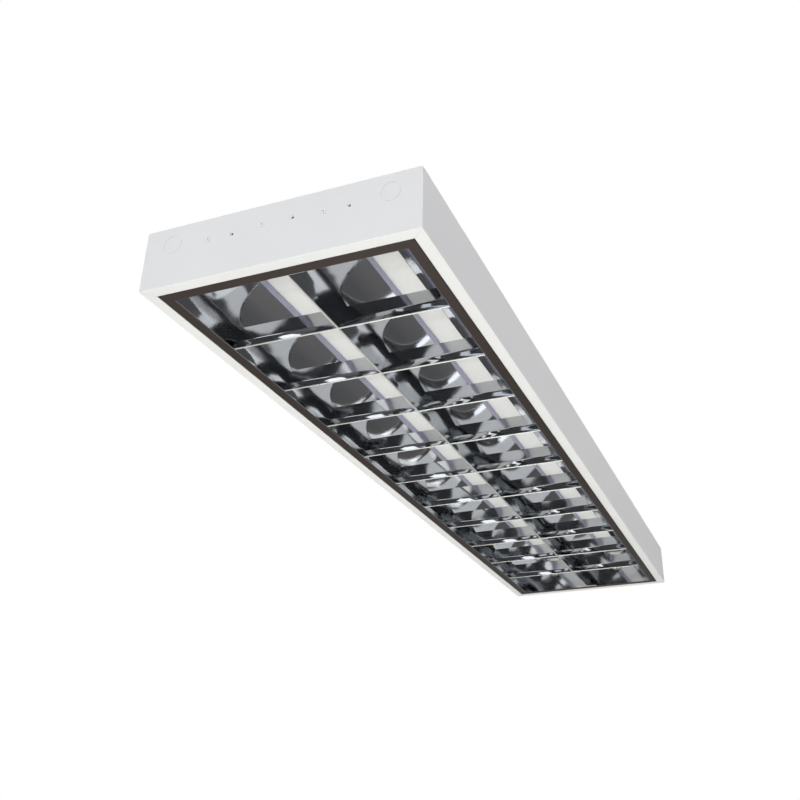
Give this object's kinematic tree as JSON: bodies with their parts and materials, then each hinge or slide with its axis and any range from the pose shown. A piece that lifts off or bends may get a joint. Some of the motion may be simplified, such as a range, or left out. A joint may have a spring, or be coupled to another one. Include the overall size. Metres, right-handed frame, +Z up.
{
  "type": "louvre ceiling luminaire",
  "caption": "Slim white ceiling luminaire for tubular lamps, with a hinged mirror louvre of curved channels and cross blades, turning lampholders and control gear.",
  "frame": {"origin": "centre of the back's outer face, at the middle of the four ceiling screws", "axes": "+X across the width to the right, +Y along the length from the near end to the far end, +Z up to the ceiling"},
  "size_m": [0.3, 1.2514, 0.07],
  "materials": {
    "white_steel": "smooth satin white paint",
    "mirror_aluminium": "bright specular anodised",
    "rivet_aluminium": "satin",
    "zinc_steel": "bright zinc plate",
    "spring_steel": "polished",
    "holder_plastic": "glossy white",
    "rotor_plastic": "matt white",
    "contact_bronze": "satin",
    "gear_case": "satin white paint",
    "circuit_board": "matt",
    "terminal_plastic": "matt",
    "terminal_brass": "nickel free, satin",
    "grommet_rubber": "matt black",
    "clip_plastic": "matt",
    "lead_insulation": "smooth",
    "mains_insulation": "smooth",
    "earth_insulation": "smooth"
  },
  "bodies": {
    "housing": {"housing_channel": "white_steel", "end_plate_near": "white_steel", "end_plate_far": "white_steel", "gear_tray": "white_steel", "lampholder_bar_near": "white_steel", "lampholder_bar_far": "white_steel", "bar_rivets": "rivet_aluminium", "end_plate_screws": "zinc_steel", "tray_screws": "zinc_steel", "ballast_screws": "zinc_steel", "hinge_brackets": "zinc_steel", "hinge_pins": "zinc_steel", "catch_brackets": "zinc_steel", "earth_stud": "zinc_steel", "earth_nuts": "zinc_steel", "lampholder_body_near_left": "holder_plastic", "lampholder_body_near_right": "holder_plastic", "lampholder_body_far_left": "holder_plastic", "lampholder_body_far_right": "holder_plastic", "lampholder_contacts": "contact_bronze", "ballast_base": "gear_case", "ballast_lid": "gear_case", "ballast_board": "circuit_board", "terminal_block": "terminal_plastic", "ballast_terminals": "terminal_plastic", "terminal_inserts": "terminal_brass", "terminal_screws": "terminal_brass", "cable_grommet": "grommet_rubber", "wire_clips": "clip_plastic", "lamp_lead_near_left": "lead_insulation", "lamp_lead_near_right": "lead_insulation", "lamp_lead_far_left": "lead_insulation", "lamp_lead_far_right": "lead_insulation", "mains_leads": "mains_insulation", "earth_lead": "earth_insulation"},
    "louvre": {"reflector_left": "mirror_aluminium", "reflector_right": "mirror_aluminium", "reflector_spine": "mirror_aluminium", "louvre_end_near": "mirror_aluminium", "louvre_end_far": "mirror_aluminium", "cross_blade_01": "mirror_aluminium", "cross_blade_02": "mirror_aluminium", "cross_blade_03": "mirror_aluminium", "cross_blade_04": "mirror_aluminium", "cross_blade_05": "mirror_aluminium", "cross_blade_06": "mirror_aluminium", "cross_blade_07": "mirror_aluminium", "cross_blade_08": "mirror_aluminium", "cross_blade_09": "mirror_aluminium", "cross_blade_10": "mirror_aluminium", "hinge_lugs": "zinc_steel", "louvre_strikers": "zinc_steel"},
    "rotor_near_left": {"lampholder_rotor_near_left": "rotor_plastic"},
    "rotor_near_right": {"lampholder_rotor_near_right": "rotor_plastic"},
    "rotor_far_left": {"lampholder_rotor_far_left": "rotor_plastic"},
    "rotor_far_right": {"lampholder_rotor_far_right": "rotor_plastic"},
    "leaf_near": {"catch_leaf_near": "spring_steel"},
    "leaf_far": {"catch_leaf_far": "spring_steel"}
  },
  "joints": [
    {"name": "louvre_hinge", "type": "hinge", "parent": "housing", "child": "louvre", "pos_m": [-0.1333, 0, -0.066], "axis": [0, 1, 0], "range_deg": [0, 90]},
    {"name": "rotor_turn_near_left", "type": "hinge", "parent": "housing", "child": "rotor_near_left", "pos_m": [-0.063, -0.6025, -0.028], "axis": [0, 1, 0], "range_deg": [0, 90]},
    {"name": "rotor_turn_near_right", "type": "hinge", "parent": "housing", "child": "rotor_near_right", "pos_m": [0.063, -0.6025, -0.028], "axis": [0, 1, 0], "range_deg": [0, 90]},
    {"name": "rotor_turn_far_left", "type": "hinge", "parent": "housing", "child": "rotor_far_left", "pos_m": [-0.063, 0.6025, -0.028], "axis": [0, 1, 0], "range_deg": [0, 90]},
    {"name": "rotor_turn_far_right", "type": "hinge", "parent": "housing", "child": "rotor_far_right", "pos_m": [0.063, 0.6025, -0.028], "axis": [0, 1, 0], "range_deg": [0, 90]},
    {"name": "leaf_flex_near", "type": "hinge", "parent": "housing", "child": "leaf_near", "pos_m": [0.133, -0.42, -0.0503], "axis": [0, -1, 0], "range_deg": [0, 6], "stiffness_Nm_per_rad": 1.2},
    {"name": "leaf_flex_far", "type": "hinge", "parent": "housing", "child": "leaf_far", "pos_m": [0.133, 0.42, -0.0503], "axis": [0, -1, 0], "range_deg": [0, 6], "stiffness_Nm_per_rad": 1.2}
  ]
}
